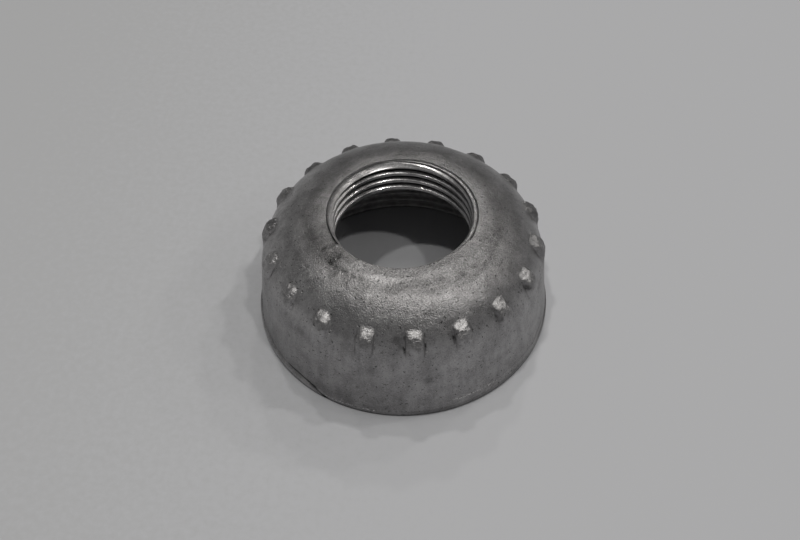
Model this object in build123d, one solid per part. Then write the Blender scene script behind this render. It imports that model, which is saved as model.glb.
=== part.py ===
from build123d import *
import math
import os

# Carburettor cap nut, die-cast in aluminium as one piece.
# A round skirt screws over the carburettor body, and a quarter-round shoulder closes it to a
# thick top with a tapped hole. A ring of short grip ribs stands on the shoulder.
# Millimetres. Origin at the centre of the foot, +Z up through the tapped hole.

# Skirt, bored to the crests of its inner thread
skirt_crest_diameter = 39.1
skirt_wall = 3.2
skirt_mouth_chamfer = 0.3

# Outer form, with a thin rim round the foot
overall_height = 19.75
rim_height = 1.2
rim_step = 0.25
rim_edge_chamfer = 0.3
wall_draft = 5.7
shoulder_radius = 10.8

# Tapped hole in the top, bored to the crests of its thread
hole_crest_diameter = 20.7
hole_mouth_chamfer = 0.55
hole_back_chamfer = 0.4

# Ceiling inside the skirt
top_thickness = 6.1
ceiling_corner_chamfer = 3.0

# Grip ribs
rib_count = 18
rib_width = 3.0
rib_face_inset = 0.2
rib_top_drop = 3.7
rib_nose_radius = 2.8
rib_edge_chamfer = 0.5

# A rounded or chamfered edge takes at most this share of the wall or radius beside it.
LARGEST_SHARE = 0.95
FULL_TURN = 360

hole_crest_radius = hole_crest_diameter / 2
skirt_crest_radius = skirt_crest_diameter / 2
wall_foot_radius = skirt_crest_radius + skirt_wall
foot_radius = wall_foot_radius + rim_step
ceiling_height = overall_height - top_thickness

# The shoulder is an arc that leaves the drafted wall and lands level with the top face, touching both.
lean = math.radians(wall_draft)
shoulder_centre_height = overall_height - shoulder_radius
shoulder_centre_radius = wall_foot_radius - (
    shoulder_radius + (shoulder_centre_height - rim_height) * math.sin(lean)
) / math.cos(lean)


def shoulder_point(angle):
    """Point of the shoulder arc, as radius and height, at an angle in radians above level."""
    return (
        shoulder_centre_radius + shoulder_radius * math.cos(angle),
        shoulder_centre_height + shoulder_radius * math.sin(angle),
    )


def turned(outline):
    """Solid turned about Z from a closed outline drawn as radius and height."""
    return revolve(Plane.XZ * make_face(outline), Axis.Z, FULL_TURN)


def outer_form():
    """Skirt, shoulder and top as one solid of revolution, before it is hollowed."""
    edge = min(rim_edge_chamfer, LARGEST_SHARE * rim_height)
    shoulder_start = shoulder_point(lean)
    shoulder_middle = shoulder_point((lean + math.pi / 2) / 2)
    shoulder_end = shoulder_point(math.pi / 2)
    outline = Polyline(
        shoulder_end,
        (0, overall_height),
        (0, 0),
        (foot_radius - edge, 0),
        (foot_radius, edge),
        (foot_radius, rim_height),
        (wall_foot_radius, rim_height),
        shoulder_start,
    )
    outline += ThreePointArc(shoulder_start, shoulder_middle, shoulder_end)
    return turned(outline)


def hollow():
    """Room inside the skirt: its bore, the chamfer at its mouth and the bevelled corner of its ceiling."""
    corner = min(ceiling_corner_chamfer, LARGEST_SHARE * (ceiling_height - skirt_mouth_chamfer))
    outline = Polyline(
        (0, ceiling_height),
        (0, 0),
        (skirt_crest_radius + skirt_mouth_chamfer, 0),
        (skirt_crest_radius, skirt_mouth_chamfer),
        (skirt_crest_radius, ceiling_height - corner),
        (skirt_crest_radius - corner, ceiling_height),
        (0, ceiling_height),
    )
    return turned(outline)


def tapped_hole():
    """Hole through the top, with a chamfer at its mouth and a smaller one at its back."""
    outline = Polyline(
        (0, ceiling_height),
        (hole_crest_radius + hole_back_chamfer, ceiling_height),
        (hole_crest_radius, ceiling_height + hole_back_chamfer),
        (hole_crest_radius, overall_height - hole_mouth_chamfer),
        (hole_crest_radius + hole_mouth_chamfer, overall_height),
        (0, overall_height),
        (0, ceiling_height),
    )
    return turned(outline)


def grip_rib():
    """One rib on +X. Its upright face turns inwards in a quarter round and dies back into the shoulder."""
    face_radius = shoulder_point(lean)[0] - rib_face_inset
    back_radius = shoulder_centre_radius
    top_height = overall_height - rib_top_drop
    nose = min(rib_nose_radius, LARGEST_SHARE * (top_height - shoulder_centre_height))
    edge = min(rib_edge_chamfer, LARGEST_SHARE * min(rib_width / 2, nose))
    outline = Polyline(
        (face_radius - nose, top_height),
        (back_radius, top_height),
        (back_radius, shoulder_centre_height),
        (face_radius, shoulder_centre_height),
        (face_radius, top_height - nose),
    )
    outline += RadiusArc((face_radius, top_height - nose), (face_radius - nose, top_height), -nose)
    rib = extrude(Plane.XZ * make_face(outline), rib_width / 2, both=True)
    return chamfer(rib.edges().filter_by(GeomType.CIRCLE), edge)


def cap_nut():
    """The whole casting: outer form with its ribs, hollowed from below and holed from above."""
    rib = grip_rib()
    ribs = [Rot(0, 0, step * FULL_TURN / rib_count) * rib for step in range(rib_count)]
    return outer_form() + ribs - hollow() - tapped_hole()


nut = cap_nut()
nut.label = "cap_nut"

os.makedirs("parts", exist_ok=True)
export_step(nut, "parts/cap_nut.step")
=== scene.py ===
import math

import bpy
import numpy as np
from mathutils import Matrix, Vector


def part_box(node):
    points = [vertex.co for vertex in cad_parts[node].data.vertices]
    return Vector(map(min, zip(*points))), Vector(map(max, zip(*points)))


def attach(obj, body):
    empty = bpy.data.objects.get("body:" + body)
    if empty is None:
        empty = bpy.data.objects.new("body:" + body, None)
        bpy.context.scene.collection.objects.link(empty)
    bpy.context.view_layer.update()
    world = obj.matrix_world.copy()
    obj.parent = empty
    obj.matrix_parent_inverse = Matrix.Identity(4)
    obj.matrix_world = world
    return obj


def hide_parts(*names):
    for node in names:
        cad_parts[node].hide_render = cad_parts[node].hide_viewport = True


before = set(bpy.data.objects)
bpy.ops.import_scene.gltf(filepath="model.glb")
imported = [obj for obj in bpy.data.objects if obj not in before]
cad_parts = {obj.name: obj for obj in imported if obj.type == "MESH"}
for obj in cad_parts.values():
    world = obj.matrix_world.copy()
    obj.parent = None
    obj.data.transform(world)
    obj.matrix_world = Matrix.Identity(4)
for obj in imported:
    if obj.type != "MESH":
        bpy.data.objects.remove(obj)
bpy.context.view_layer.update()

# The casting. The whole nut is one aluminium die casting: a threaded skirt, a quarter-round
# shoulder and a thick top with a hole. It drew off its mould along Z, so the wall leans inwards,
# and a thin rim of metal was left round the foot where the mould's halves met.
high = np.array(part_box("cap_nut")[1])
foot_radius = high[:2].min()
nut_height = high[2]
rim_height = 0.0012
rim_step = 0.00025
wall_lean = math.radians(5.7)
shoulder_radius = 0.0108

wall_foot_radius = foot_radius - rim_step
shoulder_height = nut_height - shoulder_radius
shoulder_centre = wall_foot_radius - (
    shoulder_radius + (shoulder_height - rim_height) * math.sin(wall_lean)
) / math.cos(wall_lean)

# Grip ribs of the casting, one every 20 degrees. Each has an upright outer face that turns inwards
# in a quarter round and dies back into the shoulder. Its long edges are rounded, and its nose is ragged.
rib_count = 18
rib_width = 0.003
rib_side_width = 0.00024
rib_face_radius = 0.0217
rib_nose_radius = 0.0028
rib_nose_height = 0.01325
rib_edge_rounding = 0.0009
rib_root_rounding = 0.0004
ragged_height = 0.00004
proud_heights = (-0.00002, 0.00014)
swell_height = 0.00003
ripple_height = 0.00001
swell_limit = 0.00004
side_columns = 6
top_columns = 9
gap_columns = 19
ray_arcs = (math.degrees(wall_lean), 11, 27, 50, 90)
ray_counts = (4, 10, 34, 22)
crown_arcs = (75, 88)
front_turn = 5.74

half_width = rib_width / 2
pitch_angle = 2 * math.pi / rib_count
side_start = (half_width - rib_side_width) / rib_face_radius
side_end = (half_width + rib_side_width) / rib_face_radius
sector = np.concatenate([
    np.linspace(-side_end, -side_start, side_columns, endpoint=False),
    np.linspace(-side_start, side_start, top_columns, endpoint=False),
    np.linspace(side_start, side_end, side_columns, endpoint=False),
    np.linspace(side_end, pitch_angle - side_end, gap_columns, endpoint=False),
])
azimuth = (np.arange(rib_count)[:, None] * pitch_angle + sector).ravel()
from_rib = np.tile((sector + pitch_angle / 2) % pitch_angle - pitch_angle / 2, rib_count)
rib_number = np.round(azimuth / pitch_angle).astype(int) % rib_count
across_rib = np.abs(rib_face_radius * np.sin(from_rib))

# The front faces the camera, which stands a few degrees to the right of -Y. Bearings are in degrees
# from the front, and are positive to its right.
front = math.radians(front_turn - 90)
from_front = np.degrees((azimuth - front + math.pi) % (2 * math.pi)) - 180

# Rays go out from the shoulder's centre at angles above level, and lie closest over the ribs' noses.
ray_angle = np.radians(np.concatenate([
    np.linspace(start, end, count, endpoint=end == ray_arcs[-1])
    for start, end, count in zip(ray_arcs, ray_arcs[1:], ray_counts)
]))[:, None]


def turned(strips, angles):
    """Grid of points of strips turned about Z, at radius * cos and radius * sin of each azimuth. A strip
    is a column of radii and one of heights, and a radius may differ from azimuth to azimuth."""
    radius, height = (
        np.concatenate([np.broadcast_to(strip[part], (len(strip[part]), len(angles))) for strip in strips])
        for part in (0, 1)
    )
    return np.stack([radius * np.cos(angles), radius * np.sin(angles), height], axis=-1)


def unevenness(points, length, seed, waves=28):
    """Smooth random relief of about unit height: a sum of cosine waves of near the given length,
    which cross the points in random directions with random phases."""
    random = np.random.default_rng(seed)
    direction = random.normal(size=(waves, 3))
    direction /= np.linalg.norm(direction, axis=1, keepdims=True)
    number = 2 * np.pi / (length * random.uniform(0.65, 1.5, waves))
    phase = random.uniform(0, 2 * np.pi, waves)
    return np.cos(points @ (direction * number[:, None]).T + phase).sum(axis=-1) * math.sqrt(2 / waves)


def skin_swell(points):
    """Swell of the casting's skin: waves about 6 mm long, and lower ones of about 1.6 mm over them."""
    swell = swell_height * unevenness(points, 0.006, seed=11)
    return swell + ripple_height * unevenness(points, 0.0016, seed=12)


def ease(value, start, end):
    """0 before start, 1 after end, and the smooth step 3s^2 - 2s^3 between them."""
    share = np.clip((value - start) / (end - start), 0, 1)
    return share * share * (3 - 2 * share)


def soft_max(first, second, rounding):
    """The larger of two values, with the corner where they cross filled over that width: it adds the
    square of what is left of the width there, over four widths."""
    overlap = np.maximum(rounding - np.abs(first - second), 0) / rounding
    return np.maximum(first, second) + overlap * overlap * rounding / 4


def rib_reach():
    """How far each ray goes before it leaves a rib. The rib's outline is its upright face, and above it
    a quarter round, where the reach is the centre's distance along the ray plus half the chord."""
    nose = np.array([rib_face_radius - rib_nose_radius - shoulder_centre, rib_nose_height - shoulder_height])
    along = nose[0] * np.cos(ray_angle) + nose[1] * np.sin(ray_angle)
    to_nose = along + np.sqrt(np.maximum(along**2 + rib_nose_radius**2 - nose @ nose, 0))
    to_face = (rib_face_radius - shoulder_centre) / np.cos(ray_angle)
    nose_foot = math.atan2(nose[1], nose[0] + rib_nose_radius)
    past_edge = np.clip(across_rib - (half_width - rib_edge_rounding), 0, rib_edge_rounding)
    edge_drop = rib_edge_rounding - np.sqrt(rib_edge_rounding**2 - past_edge**2)
    return np.where(ray_angle < nose_foot, to_face, to_nose) - edge_drop


plain = turned([[shoulder_centre + shoulder_radius * np.cos(ray_angle),
                 shoulder_height + shoulder_radius * np.sin(ray_angle)]], azimuth)
ragged = ragged_height * unevenness(plain, 0.0012, seed=3)
ragged += ragged_height / 2 * unevenness(plain, 0.0005, seed=4)
on_rib = 1 - ease(across_rib, half_width - rib_side_width / 2, half_width + rib_side_width / 2)
floor_reach = shoulder_radius - rib_root_rounding
reach = floor_reach + (rib_reach() + ragged - floor_reach) * on_rib
proud = ease(reach - shoulder_radius, *proud_heights)
swell = skin_swell(plain) * (1 - ease(ray_angle, *np.radians(crown_arcs)))
reach = soft_max(reach, shoulder_radius, rib_root_rounding) + np.minimum(swell, swell_limit)
shoulder = [shoulder_centre + reach * np.cos(ray_angle), shoulder_height + reach * np.sin(ray_angle)]

# Wall and rim of the casting. The rim stands proud at the left of the front, where a cold shut runs
# along it. It is nearly flush with the wall at the front itself, and a low ledge runs above it from
# there to the right.
foot_rounding = 0.0003
foot_row_count = 5
rim_row_count = 20
upper_row_count = 11
upper_start = 0.0026
rim_fall = (0.8, 1.1)
flush_share = 0.35
flush_reach = 5
ledge_step = 0.00009
ledge_fall = (0.0022, 0.0024)
shut_bearings = (-52, -44, -36, -30)
shut_heights = (0.00155, 0.0016, 0.0011, 0.0002)
shut_width = 0.00018
shut_depth = 0.00014
faint_shut_share = 0.35

wall_top_height = shoulder_height + shoulder_radius * math.sin(wall_lean)
foot_heights = foot_rounding * (1 - np.cos(np.linspace(0, math.pi / 2, foot_row_count, endpoint=False)))
rim_heights = np.linspace(foot_rounding, upper_start, rim_row_count, endpoint=False)
upper_heights = np.linspace(upper_start, wall_top_height, upper_row_count, endpoint=False)
wall_height = np.concatenate([foot_heights, rim_heights, upper_heights])[:, None]


def window(value, start, end, fade, end_fade=None):
    """1 between start and end, and a smooth fall to 0 over the given width outside them, or over
    end_fade past the end."""
    return ease(value, start - fade, start) * (1 - ease(value, end, end + (end_fade or fade)))


def band(value, middle, width):
    """1 at the middle and less on both sides: e to the power of minus the squared distance in widths."""
    return np.exp(-(((value - middle) / width) ** 2))


wall_radius = wall_foot_radius - (wall_height - rim_height) * math.tan(wall_lean)
above_foot = np.minimum(wall_height / foot_rounding, 1)
foot_edge = foot_rounding * (1 - np.sqrt(above_foot * (2 - above_foot)))
rim_radius = foot_radius - foot_edge
flush = flush_share * (window(from_front, -24, 60, 8) + window(from_front, 0, 26, 10))
ledge = ledge_step * window(from_front, 15, 70, 6)
filled_radius = wall_radius + rim_step * flush * (1 - ease(wall_height / rim_height, 1, flush_reach))
filled_radius += ledge * (1 - ease(wall_height, *ledge_fall))
past_rim = ease(wall_height / rim_height, *rim_fall)
shut = window(from_front, -50, -31, 3) + faint_shut_share * window(from_front, -105, -56, 5)
shut = shut * band(wall_height, np.interp(from_front, shut_bearings, shut_heights), shut_width)
wall_swell = skin_swell(turned([[filled_radius, wall_height]], azimuth))
wall_relief = past_rim * wall_swell - shut_depth * shut
outside_radius = rim_radius + (filled_radius - rim_radius) * past_rim + wall_relief
outside = [np.minimum(outside_radius, rim_radius), wall_height]

# Inside of the casting, from the hole's mouth down to the foot. The cutter that opened up the mouth ran
# a little off centre, and it sank a thin ring of the top round it, which narrows to nothing at the front.
# The threads are pieces of their own, which sit in wider seats.
mouth_radius = 0.01085
mouth_leftward = 0.00034
mouth_backward = 0.000165
mouth_sink = 0.00006
seat_gap = 0.00001
ring_radius = 0.01122
ring_slope = 0.00006
ring_foot_share = 0.9
ring_front_share = 0.4
lip = 0.0003
hole_seat_radius = 0.0118
hole_back_radius = 0.01075
ceiling_height = 0.01365
ceiling_bevel = 0.003
skirt_radius = 0.01955
skirt_seat_radius = 0.0207
skirt_mouth_radius = 0.01985


def mouth_reach(angles):
    """Radius of the mouth's edge at each azimuth: the cutter's own radius, less its offset to the left
    times the sine, and its offset backwards times the cosine, of the angle from the front."""
    turn = angles - front
    return mouth_radius - mouth_leftward * np.sin(turn) - mouth_backward * np.cos(turn)


def path_strips(path):
    """Strips of the section along a path of straight runs. Each stop is a radius, a height and how many
    rows lead from it to the next stop, evenly spaced. The last stop only ends the path. A radius may be
    an array with a value for each column of the grid."""
    strips = []
    for (*start, rows), (*end, _) in zip(path, path[1:]):
        share = np.linspace(0, 1, rows, endpoint=False)[:, None]
        strips.append([first + share * (last - first) for first, last in zip(start, end)])
    return strips


def closed_surface(name, points):
    """Mesh of a grid of points, rows x columns x 3, that closes on itself both ways. Each face joins a
    point to the next in its row, the next in its column and the one between them."""
    rows, columns = points.shape[:2]
    index = np.arange(rows * columns).reshape(rows, columns)
    right = np.roll(index, -1, axis=1)
    above = np.roll(index, -1, axis=0)
    corner = np.roll(right, -1, axis=0)
    faces = np.stack([index, right, corner, above], axis=-1).reshape(-1, 4)
    mesh = bpy.data.meshes.new(name)
    mesh.from_pydata(points.reshape(-1, 3), [], faces.tolist())
    mesh.shade_smooth()
    piece = bpy.data.objects.new(name, mesh)
    bpy.context.scene.collection.objects.link(piece)
    return piece


# The ring slopes down from its edge to its foot, which always stays clear of the mouth's edge.
mouth_edge = mouth_reach(azimuth) + seat_gap
ring = 1 - window(from_front, -70, 38, 30)
ring_edge = mouth_edge + ring_slope + ring * np.maximum(ring_radius - mouth_edge - ring_slope, 0)
ring_foot = ring_edge - ring_foot_share * ring_slope
ring_height = nut_height - mouth_sink * (ring_front_share + (1 - ring_front_share) * ring)
bevel_foot = ceiling_height - ceiling_bevel
inside = path_strips([
    (ring_edge, nut_height, 2),
    (ring_foot, ring_height, 2),
    (mouth_edge, ring_height, 2),
    (mouth_edge, nut_height - lip, 1),
    (hole_seat_radius, nut_height - 2 * lip, 2),
    (hole_seat_radius, ceiling_height + lip, 1),
    (hole_back_radius, ceiling_height + lip, 1),
    (hole_back_radius, ceiling_height, 3),
    (skirt_radius - ceiling_bevel, ceiling_height, 3),
    (skirt_radius, bevel_foot, 1),
    (skirt_seat_radius, bevel_foot - lip, 2),
    (skirt_seat_radius, 2 * lip, 1),
    (skirt_mouth_radius, lip, 1),
    (skirt_mouth_radius, 0, 3),
    (foot_radius - foot_rounding, 0, 0),
])

casting_points = turned([outside, shoulder, *inside], azimuth)
casting_points[..., 2] = np.clip(casting_points[..., 2], 0, nut_height)
casting = closed_surface("casting", casting_points)

# Wear, dirt and painted shade on the casting, kept for each of its points and read by its material. The
# ribs' noses are knocked bright and the foot is scraped. Dirt and painted shade sit beside the ribs, dirt
# sits in the cold shut, and a painted contact shadow runs along the foot, with dark marks where they are on
# the real nut.
# Handling has left paler and darker patches, and painted highlights and painted shade lie among them.
bare_arc = (35, 47)
bare_offset = 0.0004
bare_reach = (0.7, 1.4)
bare_loss_behind = 0.3
scraped_bareness = 0.66
rib_dirt_range = (0.1, 0.4)
front_ribs = slice(13, 17)
front_rib_dirt = (0.35, 0.7, 0.45, 0.4)
root_dirt_offset = 0.0001
root_dirt_width = 0.00015
nose_dirt_share = 0.5
shut_dirt = 0.9
foot_dirt = 0.95
foot_dirt_height = 0.0004

wall_rows = slice(0, len(wall_height))
shoulder_rows = slice(wall_rows.stop, wall_rows.stop + len(ray_angle))
inside_rows = slice(shoulder_rows.stop, None)
point_height = casting_points[..., 2]
point_radius = np.linalg.norm(casting_points[..., :2], axis=-1)
back_side = 1 - window(from_front, -70, 70, 30)

# The bare patch of each nose lies a little off the rib's middle, and is weaker on the ribs behind.
bare = np.zeros(point_height.shape)
from_patch = np.abs(rib_face_radius * np.sin(from_rib) + bare_offset) / half_width
nose_bareness = ease(ray_angle, *np.radians(bare_arc)) * (1 - ease(from_patch, *bare_reach))
bare[shoulder_rows] = nose_bareness * proud * (1 - bare_loss_behind * back_side)

# Scraped lines near the foot: bearings, height, how far they fall for each degree, and width.
scrapes = [
    ((19, 44, 2), 0.0023, 0.00001, 0.00012),
    ((-30, -12, 3), 0.0009, 0, 0.00013),
]
for bearings, height, fall, width in scrapes:
    scrape = band(wall_height, height - fall * (from_front - bearings[0]), width)
    bare[wall_rows] += scraped_bareness * window(from_front, *bearings) * scrape

# Dirt and painted shade lie in broken lumps along the roots of the ribs and under their noses. The four ribs
# at the front have as much of it as they show.
rib_dirt = np.random.default_rng(5).uniform(*rib_dirt_range, rib_count)
rib_dirt[front_ribs] = front_rib_dirt
lumps = ease(unevenness(casting_points * (1, 1, 0.6), 0.0009, seed=31), -0.6, 0.9)
rib_root = band(across_rib - half_width, root_dirt_offset, root_dirt_width)
rib_root = rib_root * window(point_height, 0.0131, 0.0156, 0.0005)
under_nose = window(across_rib, 0, half_width, 0.0004) * window(point_height, 0.0138, 0.0146, 0.0006)
dirt = rib_dirt[rib_number] * (rib_root + nose_dirt_share * under_nose) * lumps
# Dirt in the cold shut, and a painted contact shadow along the very foot, where it meets the floor.
dirt[wall_rows] += shut_dirt * shut + foot_dirt * band(wall_height, 0, foot_dirt_height)

# Dark marks, round and even inside: bearing, height, size and strength.
marks = [
    (-44, 0.0115, 0.0009, 0.38),
    (9, 0.0076, 0.00095, 0.42),
    (-18, 0.0054, 0.0003, 0.5),
    (-12.5, 0.0103, 0.0013, 0.12),
    (-3, 0.0150, 0.0007, 0.5),
    (-1.3, 0.0141, 0.0005, 0.4),
    (19.3, 0.0147, 0.0006, 0.34),
    (41, 0.0144, 0.0005, 0.4),
    (60.5, 0.0145, 0.0005, 0.6),
]
for bearing, height, size, strength in marks:
    away_squared = (point_radius * np.radians(from_front - bearing)) ** 2 + (point_height - height) ** 2
    dirt += strength * band(away_squared, 0, size**2)
dirt *= point_radius > mouth_edge

# Level, or brightness, of the skin. An arc is the angle up the shoulder in degrees, with the wall as 0
# and all the rest as 90. The crown is darker than the wall, and most of all before the hole.
wall_level = 0.64
inside_level = 0.62
shoulder_drop = 0.115
crown_drop = 0.07
front_crown_drop = 0.09
rib_drop_behind = 0.26
swirl_height = 0.028
least_stain = 0.4

arc = np.full(point_height.shape, 90.0)
arc[wall_rows] = 0
arc[shoulder_rows] = np.degrees(ray_angle)
before_hole = window(from_front, -48, 62, 28)
level = wall_level - shoulder_drop * ease(arc, 45, 60)
level -= (crown_drop + front_crown_drop * before_hole) * ease(arc, 60, 75)

# Patches that are paler or darker: change of level, bearings and arcs, with their fades. Most are
# the skin's own tone, and the rows marked below paint light and shade into the lamps' highlights on the
# crown.
skin_and_highlight_patches = [
    (-0.12, (-72, -45, 14), (78, 90, 12)),
    # Painted shade: this row and the next two dim the lamps' highlights on the crown before the hole.
    (-0.05, (-10, 32, 8), (66, 75, 4)),
    (-0.07, (-22, 4, 10), (57, 63, 4)),
    (-0.04, (-52, 40, 12), (63, 76, 4)),
    (-0.06, (-125, -72, 12), (0, 30, 20)),
    (-0.07, (72, 125, 12), (0, 5, 15)),
    # Painted highlights: streaks where lamps are reflected, near the front of the hole and on the crown at
    # its right.
    (0.07, (-40, -6, 8), (79, 84, 3)),
    (0.12, (42, 56, 6), (71, 78, 4)),
    (0.2, (-118, -48, 22), (28, 62, 14)),
    # Painted shade: dims a lamp's highlight on the crown at the right.
    (-0.15, (48, 95, 18), (58, 74, 14, 10)),
    (0.06, (25, 100, 20), (0, 20, 20)),
    (0.05, (-42, -8, 8), (10, 40, 9)),
    (0.04, (3, 28, 6), (0, 30, 15)),
    (0.05, (-160, -105, 20), (55, 80, 10)),
    # Painted light and shade: this row brightens the highlight band before the hole, and the next dims the
    # skin under it.
    (0.03, (-30, 50, 15), (48, 62, 5)),
    (-0.05, (-42, 50, 15), (34, 45, 5)),
]
for change, bearings, arcs in skin_and_highlight_patches:
    level += change * window(from_front, *bearings) * window(arc, *arcs)

# The same low on the wall: change of level, bearings and heights. The last goes all round and darkens
# the whole foot, a painted shade near the floor.
foot_patches_and_shade = [
    (0.22, (-80, -36, 6), (0.0002, 0.0011, 0.0003)),
    (-0.16, (4, 100, 8), (0, 0.001, 0.0003)),
    (-0.07, (-180, 180, 1), (0, 0.001, 0.007)),
]
for change, bearings, heights in foot_patches_and_shade:
    level[wall_rows] += change * window(from_front, *bearings) * window(wall_height, *heights)

# Swirls that handling left on the crown before the hole, drawn out round it.
round_hole = point_radius * np.radians(from_front)
swirl_place = np.stack([point_radius, round_hole, point_height], axis=-1) * (1, 0.15, 0.3)
level += swirl_height * unevenness(swirl_place, 0.0011, seed=41) * before_hole * ease(arc, 52, 64)
level[shoulder_rows] -= rib_drop_behind * on_rib * proud * back_side
level[inside_rows] = inside_level

# Stains lie on the crown, most of all at its left, and the skin before the hole is sandier.
stain = ease(arc, 58, 74) * (least_stain + (1 - least_stain) * window(from_front, -100, -25, 25))
sand = before_hole * ease(arc, 46, 58)


def store(piece, **values):
    """Keeps values for each point of a piece, under their names, as attributes that its material reads."""
    for name, value in values.items():
        piece.data.attributes.new(name, "FLOAT", "POINT").data.foreach_set("value", value.ravel())


store(casting, bare=bare, dirt=dirt, level=level, stain=stain, sand=sand)

# As-cast skin: aluminium gone dull and grey with age, sandy to the eye and most of all before the hole,
# mottled, stained on the crown and drawn out into faint upright streaks, with small dark pits. It is one
# material with the bare noses, which are scratched and brighter. The stored level and dirt that it reads
# also carry painted highlights, painted shade and a painted contact shadow.


class Signal:
    """One output of a shader node. Sums and products of signals add the Math nodes that work them out."""

    def __init__(self, socket):
        self.socket = socket

    def node(self, kind, settings=None, output=0, **inputs):
        """Adds a node of a kind to the same tree, with its settings, and values or links as inputs."""
        return add_node(self.socket.id_data, kind, settings, output, **inputs)

    def math(self, operation, first, second):
        """Adds a Math node for an operation on two signals or numbers."""
        return self.node("ShaderNodeMath", {"operation": operation}, s0=first, s1=second)

    def between(self, start, end):
        """A smooth step from 0 at start to 1 at end."""
        smooth = {"interpolation_type": "SMOOTHSTEP"}
        return self.node("ShaderNodeMapRange", smooth, Value=self, From_Min=start, From_Max=end)

    def mix(self, first, second):
        """The first colour where this signal is 0 and the second where it is 1."""
        return self.node("ShaderNodeMix", {"data_type": "RGBA"}, 2, s0=self, s6=first, s7=second)

    def stretched(self, factors):
        """These coordinates times a factor for each axis. A pattern is drawn out where it is small."""
        return self.node("ShaderNodeVectorMath", {"operation": "MULTIPLY"}, s0=self, s1=factors)

    def stored(self, name):
        """The value that each point of the piece keeps under a name."""
        return self.node("ShaderNodeAttribute", {"attribute_name": name}, 2)

    def __add__(self, other):
        return self.math("ADD", self, other)

    def __radd__(self, other):
        return self.math("ADD", other, self)

    def __sub__(self, other):
        return self.math("SUBTRACT", self, other)

    def __rsub__(self, other):
        return self.math("SUBTRACT", other, self)

    def __mul__(self, other):
        return self.math("MULTIPLY", self, other)

    def __rmul__(self, other):
        return self.math("MULTIPLY", other, self)


def add_node(tree, kind, settings=None, output=0, **inputs):
    """Adds a node, applies its settings, then fills its sockets. Sockets are named s0, s1 and so on by
    place, or by their own name with _ for a space."""
    node = tree.nodes.new(kind)
    for key, value in (settings or {}).items():
        setattr(node, key, value)
    for key, value in inputs.items():
        place = int(key[1:]) if key[0] == "s" and key[1:].isdigit() else key.replace("_", " ")
        if isinstance(value, Signal):
            tree.links.new(value.socket, node.inputs[place])
        else:
            node.inputs[place].default_value = value
    return Signal(node.outputs[output]) if node.outputs else None


def new_material(name):
    """A material with an empty node tree, and its Object coordinates in millimetres."""
    material = bpy.data.materials.new(name)
    material.use_nodes = True
    material.node_tree.nodes.clear()
    place = add_node(material.node_tree, "ShaderNodeTexCoord", output=3)
    return material, place.node("ShaderNodeVectorMath", {"operation": "SCALE"}, s0=place, Scale=1000.0)


def noise(place, scale, detail=3.0, roughness=0.5):
    """Noise of that many features a millimetre."""
    return place.node("ShaderNodeTexNoise", Vector=place, Scale=scale, Detail=detail, Roughness=roughness)


def tint(level):
    """The colour of aged aluminium at that level: near neutral, with a little less green."""
    return (level, level * 0.98, level * 0.985, 1)


def dress(mesh, material, surface):
    """Ends a material with its surface shader and gives it to a mesh."""
    surface.node("ShaderNodeOutputMaterial", s0=surface)
    mesh.materials.append(material)


skin_dark, skin_pale = tint(0.34), tint(0.62)
bare_dark, bare_pale = tint(0.12), tint(0.68)
dirt_colour = tint(0.035)
pit_colour = tint(0.05)
pit_strength = 0.75
stain_drop = 0.14
sand_contrast = 0.3
skin_roughness = 0.31
grain_roughness = 0.1
dirt_roughness = 0.2
bare_roughness = 0.34
relief_height = 0.00012

skin, place = new_material("cast_aluminium")
mottle = noise(place, 0.35, 6.0, 0.6)
chips = noise(place, 1.7, 2.0, 0.6)
grain = noise(place, 4.4, 2.0, 0.6)
fine_grain = noise(place, 9.0, 2.0, 0.6)
streak = noise(place.stretched((1, 1, 0.1)), 1.3, 3.0)
pits = 1 - noise(place, 2.6, 1.0).between(0.28, 0.325)
stains = noise(place, 0.6, 5.0, 0.65).between(0.48, 0.66) * place.stored("stain")
sand_signal = (grain + fine_grain - 1.0) * place.stored("sand")
dirt_signal = place.stored("dirt")

tone = mottle * 0.35 + grain * 0.25 + fine_grain * 0.25 + streak * 0.15
skin_colour = tone.between(0.38, 0.62).mix(skin_dark, skin_pale)
# Painted highlights and painted shade on the crown and at the foot come in with the stored level.
aged_with_painted_light = (place.stored("level") - stains * stain_drop + sand_signal * sand_contrast).mix(tint(0), skin_colour)
# The stored dirt also brings painted shade beside and under the ribs and a painted contact shadow at the
# foot.
soiled_and_shaded = (dirt_signal * (0.5 + grain)).between(0.05, 1.0).mix(aged_with_painted_light, dirt_colour)
knocked = (place.stored("bare") + chips * 1.5 + grain * 0.8).between(1.52, 1.64)
scratched = (grain * 0.5 + fine_grain * 0.5).between(0.42, 0.57).mix(bare_dark, bare_pale)
worn_with_painted_light = knocked.mix(soiled_and_shaded, scratched)
relief = grain * 0.55 + fine_grain * 0.22 + mottle * 0.5 - pits * 0.4
roughness = skin_roughness + grain * grain_roughness + dirt_signal * dirt_roughness
surface = relief.node(
    "ShaderNodeBsdfPrincipled",
    Base_Color=(pits * pit_strength).mix(worn_with_painted_light, pit_colour),
    Metallic=1.0,
    Roughness=roughness + knocked * bare_roughness,
    Normal=relief.node("ShaderNodeBump", Strength=1.0, Distance=relief_height, Height=relief),
)
dress(casting.data, skin, surface)
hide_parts("cap_nut")
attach(casting, "root")

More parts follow.
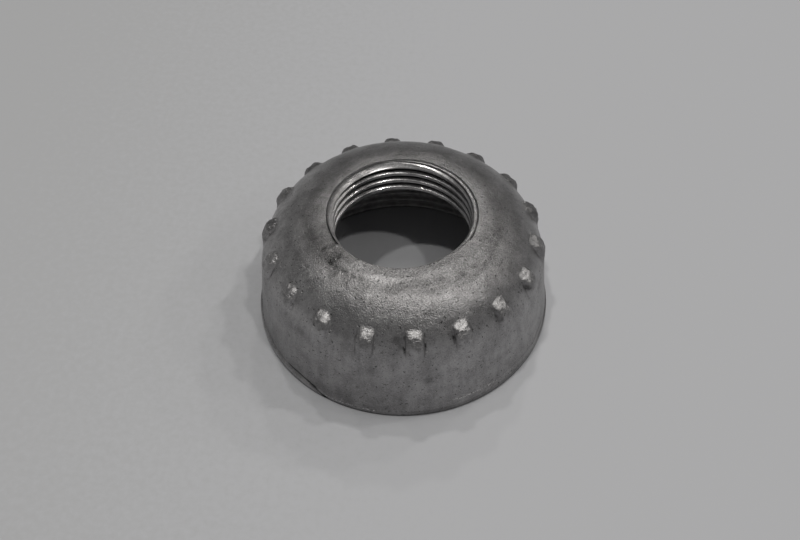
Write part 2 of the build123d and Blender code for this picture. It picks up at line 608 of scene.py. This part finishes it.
# Thread of the hole in the top, cut in the casting with a tap: a right-hand 60 degree thread of
# 1.5 mm pitch with flat crests, a hollow countersink at its mouth and a chamfer at its back. The tap
# chattered at the left of the far side, and the roots are darkened with old grime and painted shade.
thread_pitch = 0.0015
thread_depth = 0.0008
thread_start = 0.82
crest_share = 0.2
root_share = 0.12
hole_crest_radius = 0.01035
countersink_depth = 0.0008
countersink_curve = 1.6
room_slope = 1.2
back_chamfer = 0.0004
chatter_height = 0.000009
grime_film = 0.12
left_grime = 0.4
right_grime = 0.35
far_rubbing = 0.5
hole_columns = 480
hole_rows = 160


def thread_groove(turn):
    """Depth of a thread from 0 at its crest to 1 at its root, over one pitch: a flat crest, a flank, a
    flat root and a flank back, eased into each other. turn counts pitches; its fraction matters."""
    from_root = np.abs((turn % 1) - 0.5)
    return 1 - ease(from_root, root_share / 2, 0.5 - crest_share / 2)


hole_angles = np.linspace(0, 2 * np.pi, hole_columns, endpoint=False)
hole_heights = np.linspace(nut_height - mouth_sink, ceiling_height, hole_rows)[:, None]
hole_turn = (hole_heights - nut_height) / thread_pitch - hole_angles / (2 * np.pi) + thread_start
hole_groove = thread_groove(hole_turn)
below_mouth = nut_height - mouth_sink - hole_heights
cut_mouth = mouth_reach(hole_angles)
hollow = 1 - np.minimum(below_mouth / countersink_depth, 1) ** countersink_curve
countersink = hole_crest_radius + (cut_mouth - hole_crest_radius) * hollow

# The grooves have room out to the mouth's edge, and below the casting's lip to ever further out.
room = cut_mouth + room_slope * np.maximum(below_mouth - lip, 0)
cut = np.minimum(hole_crest_radius + thread_depth * hole_groove, room)
chamfer = hole_crest_radius + back_chamfer - (hole_heights - ceiling_height)
hole_wall = np.maximum(np.maximum(cut, countersink), chamfer)

# Bearings inside the hole run from 0 at the front by the right to 180 on the far side.
hole_bearing = np.degrees((hole_angles - front) % (2 * np.pi))
smooth_wall = turned([[hole_wall, hole_heights]], hole_angles)
chatter = window(hole_bearing, 208, 256, 6) * unevenness(smooth_wall * (1, 1, 0.3), 0.0006, seed=21)
hole_wall = hole_wall + chatter_height * chatter

# The sleeve closes the thread behind its grooves, out of sight in the casting's seat.
sleeve_radius = hole_seat_radius - seat_gap
sleeve = path_strips([
    (sleeve_radius, ceiling_height + 2 * lip, 2),
    (sleeve_radius, nut_height - 3 * lip, 1),
    (cut_mouth, nut_height - 1.5 * lip, 1),
    (cut_mouth, nut_height - lip, 0),
])
hole_points = turned([[hole_wall, hole_heights], *sleeve], hole_angles)
hole_thread = closed_surface("hole_thread", hole_points)

# Grime darkens the thread, and its roots are darker still, with grime and painted shade. Rubbing dulls
# its left side and the far side of the countersink.
root_grime = ease(hole_groove, 0.25, 0.75) * ease(below_mouth, 0.0006, 0.001)
side_grime = grime_film + left_grime * window(hole_bearing, 212, 256, 18)
side_grime = side_grime + right_grime * window(hole_bearing, 80, 128, 14)
grime = np.zeros(hole_points.shape[:2])
grime[:hole_rows] = np.maximum(root_grime, side_grime)
rubbed = np.tile(window(hole_bearing, 238, 330, 20), (len(grime), 1))
far_side = window(hole_bearing, 110, 215, 12)
rubbed[:hole_rows] += far_rubbing * far_side * (1 - ease(below_mouth, 0.0007, 0.0009))
store(hole_thread, grime=grime, rubbed=rubbed)

cut_dark, cut_pale = tint(0.45), tint(0.75)
grime_colour = tint(0.05)
grime_strength = 0.85
cut_roughness = 0.12
dull_roughness = 0.33
rubbed_roughness = 0.22
line_height = 0.00002

cut_metal, cut_place = new_material("tapped_aluminium")
lines = noise(cut_place.stretched((0.3, 0.3, 12.0)), 1.0, 2.0)
blotches = noise(cut_place, 1.4, 4.0, 0.6)
dull = noise(cut_place, 15.0, 1.0).between(0.44, 0.6)
cut_colour = (lines * 0.4 + blotches * 0.6).between(0.35, 0.65).mix(cut_dark, cut_pale)
cut_surface = lines.node(
    "ShaderNodeBsdfPrincipled",
    Base_Color=(cut_place.stored("grime") * grime_strength).mix(cut_colour, grime_colour),
    Metallic=1.0,
    Roughness=cut_roughness + dull * dull_roughness + cut_place.stored("rubbed") * rubbed_roughness,
    Normal=lines.node("ShaderNodeBump", Strength=1.0, Distance=line_height, Height=lines),
)
dress(hole_thread.data, cut_metal, cut_surface)
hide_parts("cap_nut")
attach(hole_thread, "root")

# Thread of the skirt, cut in the same way for the neck of the carburettor and dark with old oil. It
# fades out below the ceiling, where the tap stopped.
skirt_columns = 480
skirt_rows = 84
skirt_foot = 0.00001
skirt_fade = (0.0004, 0.002)
oil_dark, oil_pale = tint(0.28), tint(0.45)
least_oil_roughness = 0.45
oil_roughness = 0.2

skirt_angles = np.linspace(0, 2 * np.pi, skirt_columns, endpoint=False)
skirt_heights = np.linspace(bevel_foot, skirt_foot, skirt_rows)[:, None]
skirt_turn = skirt_heights / thread_pitch - skirt_angles / (2 * np.pi)
skirt_groove = thread_groove(skirt_turn) * ease(bevel_foot - skirt_heights, *skirt_fade)
skirt_cut = skirt_radius + thread_depth * skirt_groove
skirt_wall = np.maximum(skirt_cut, skirt_mouth_radius - skirt_heights)
skirt_sleeve = skirt_seat_radius - seat_gap
skirt_thread = closed_surface("skirt_thread", turned([
    [skirt_wall, skirt_heights],
    *path_strips([(skirt_sleeve, 3 * lip, 2), (skirt_sleeve, bevel_foot - 2 * lip, 0)]),
], skirt_angles))

oiled_metal, oiled_place = new_material("oiled_aluminium")
oil = noise(oiled_place, 0.6, 4.0, 0.6)
oiled_surface = oil.node(
    "ShaderNodeBsdfPrincipled",
    Base_Color=oil.between(0.3, 0.7).mix(oil_dark, oil_pale),
    Metallic=1.0,
    Roughness=least_oil_roughness + oil * oil_roughness,
)
dress(skirt_thread.data, oiled_metal, oiled_surface)
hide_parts("cap_nut")
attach(skirt_thread, "root")

# Floor: a plain pale board that the nut stands on, with faint blotches. Its colour darkens a little
# towards -X, a painted falloff of the light that leaves it dimmer to the left.
half_floor = 1.5
painted_falloff_rate = 0.005
board_blotches = 0.6
board_roughness = 0.75
board_shaded_left, board_lit_right = (0.387, 0.390, 0.401, 1), (0.424, 0.428, 0.446, 1)

corner_signs = [(-1, -1), (1, -1), (1, 1), (-1, 1)]
floor_corners = [(half_floor * x, half_floor * y, 0) for x, y in corner_signs]
floor_mesh = bpy.data.meshes.new("floor")
floor_mesh.from_pydata(floor_corners, [], [(0, 1, 2, 3)])
floor = bpy.data.objects.new("floor", floor_mesh)
bpy.context.scene.collection.objects.link(floor)

board, board_place = new_material("pale_board")
board_tone = noise(board_place, 0.9, 5.0, 0.6)
across = board_place.node("ShaderNodeSeparateXYZ", s0=board_place)
falloff_and_blotches = (across * painted_falloff_rate + board_tone * board_blotches).between(-0.1, 0.35)
board_surface = board_tone.node(
    "ShaderNodeBsdfPrincipled",
    Base_Color=falloff_and_blotches.mix(board_shaded_left, board_lit_right),
    Roughness=board_roughness,
)
dress(floor_mesh, board, board_surface)

# Light: a room with even light and eleven small ceiling lamps. Each lamp is given by how far its light
# moves to the right and away from the camera for each metre that it falls, by its share of the light
# on the floor, and by how wide it looks in degrees.
lamps = [
    ((0.214, 0.052), 0.170, 3),
    ((0.039, -0.420), 0.107, 3),
    ((-0.335, 0.259), 0.131, 3),
    ((-0.571, -0.243), 0.085, 3),
    ((-0.023, -0.196), 0.088, 9),
    ((-0.161, -0.957), 0.042, 3),
    ((-0.763, -0.767), 0.036, 3),
    ((-1.193, -0.042), 0.024, 3),
    ((-0.939, 0.481), 0.016, 3),
    ((-1.368, -0.557), 0.013, 3),
    ((-0.117, 0.165), 0.023, 9),
]
lamp_colour = (1, 0.985, 0.95)
room_colour = (1, 1, 1, 1)
room_strength = 0.165

camera_turn = front + math.pi / 2
for number, (drift, share, width) in enumerate(lamps):
    lamp_data = bpy.data.lights.new(f"ceiling_lamp_{number}", "SUN")
    lamp_data.angle = math.radians(width)
    lamp_data.energy = math.pi * share * math.sqrt(1 + drift[0] ** 2 + drift[1] ** 2)
    lamp_data.color = lamp_colour
    fall = Matrix.Rotation(camera_turn, 3, "Z") @ Vector((*drift, -1))
    lamp = bpy.data.objects.new(f"ceiling_lamp_{number}", lamp_data)
    lamp.rotation_mode = "QUATERNION"
    lamp.rotation_quaternion = fall.to_track_quat("-Z", "Y")
    bpy.context.scene.collection.objects.link(lamp)

room = bpy.data.worlds.new("room")
room.use_nodes = True
room.node_tree.nodes["Background"].inputs["Color"].default_value = room_colour
room.node_tree.nodes["Background"].inputs["Strength"].default_value = room_strength
bpy.context.scene.world = room
bpy.context.scene.view_settings.view_transform = "Standard"

# Camera, above and in front of the nut, placed as the photograph was taken. The photograph is
# 800 x 540 pixels, and the centre of the nut's foot lies a little off its middle.
frame_width = 800
focal_pixels = 1095.2
foot_across = 3.1
foot_below = 25.8
view_elevation = math.radians(51.42)
view_distance = 0.17806
view_roll = math.radians(0.63)
film_width = 36
nearest_shown = 0.01

camera_data = bpy.data.cameras.new("camera")
camera_data.sensor_width = film_width
camera_data.lens = film_width * focal_pixels / frame_width
camera_data.clip_start = nearest_shown
camera = bpy.data.objects.new("camera", camera_data)
bpy.context.scene.collection.objects.link(camera)
stand = Matrix.Rotation(camera_turn, 4, "Z") @ Matrix.Rotation(math.pi / 2 - view_elevation, 4, "X")
look = (
    Matrix.Rotation(math.atan(foot_across / focal_pixels), 4, "Y")
    @ Matrix.Rotation(math.atan(foot_below / focal_pixels), 4, "X")
    @ Matrix.Rotation(-view_roll, 4, "Z")
)
camera.matrix_world = stand @ Matrix.Translation((0, 0, view_distance)) @ look
bpy.context.scene.camera = camera
